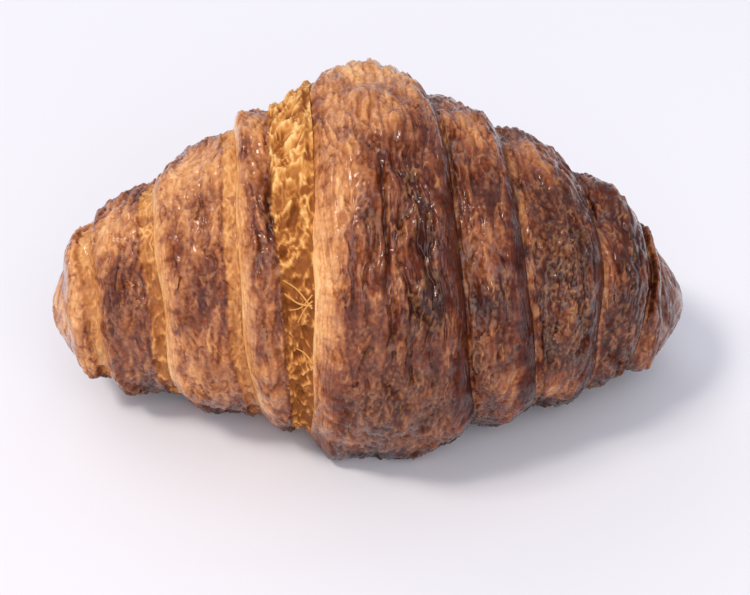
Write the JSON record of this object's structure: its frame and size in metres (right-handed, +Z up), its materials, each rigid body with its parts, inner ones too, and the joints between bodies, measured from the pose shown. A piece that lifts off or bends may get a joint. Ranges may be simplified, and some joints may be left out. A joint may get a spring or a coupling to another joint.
{
  "type": "croissant",
  "caption": "Baked butter croissant: a straight, plump roll of laminated dough with shingled turns, a broad middle lobe, blunt horns and a flat base.",
  "frame": {"origin": "on the table, under the middle of the croissant's bounding box", "axes": "+X along the roll, towards the darker right-hand horn; +Y towards the back, away from the side that the picture shows; +Z up"},
  "size_m": [0.1456, 0.0906, 0.0776],
  "materials": {
    "crust": "egg-washed baked crust, semi-gloss, amber to deep brown, paler at the cut edges"
  },
  "bodies": {
    "root": {"croissant": "crust"}
  },
  "joints": []
}
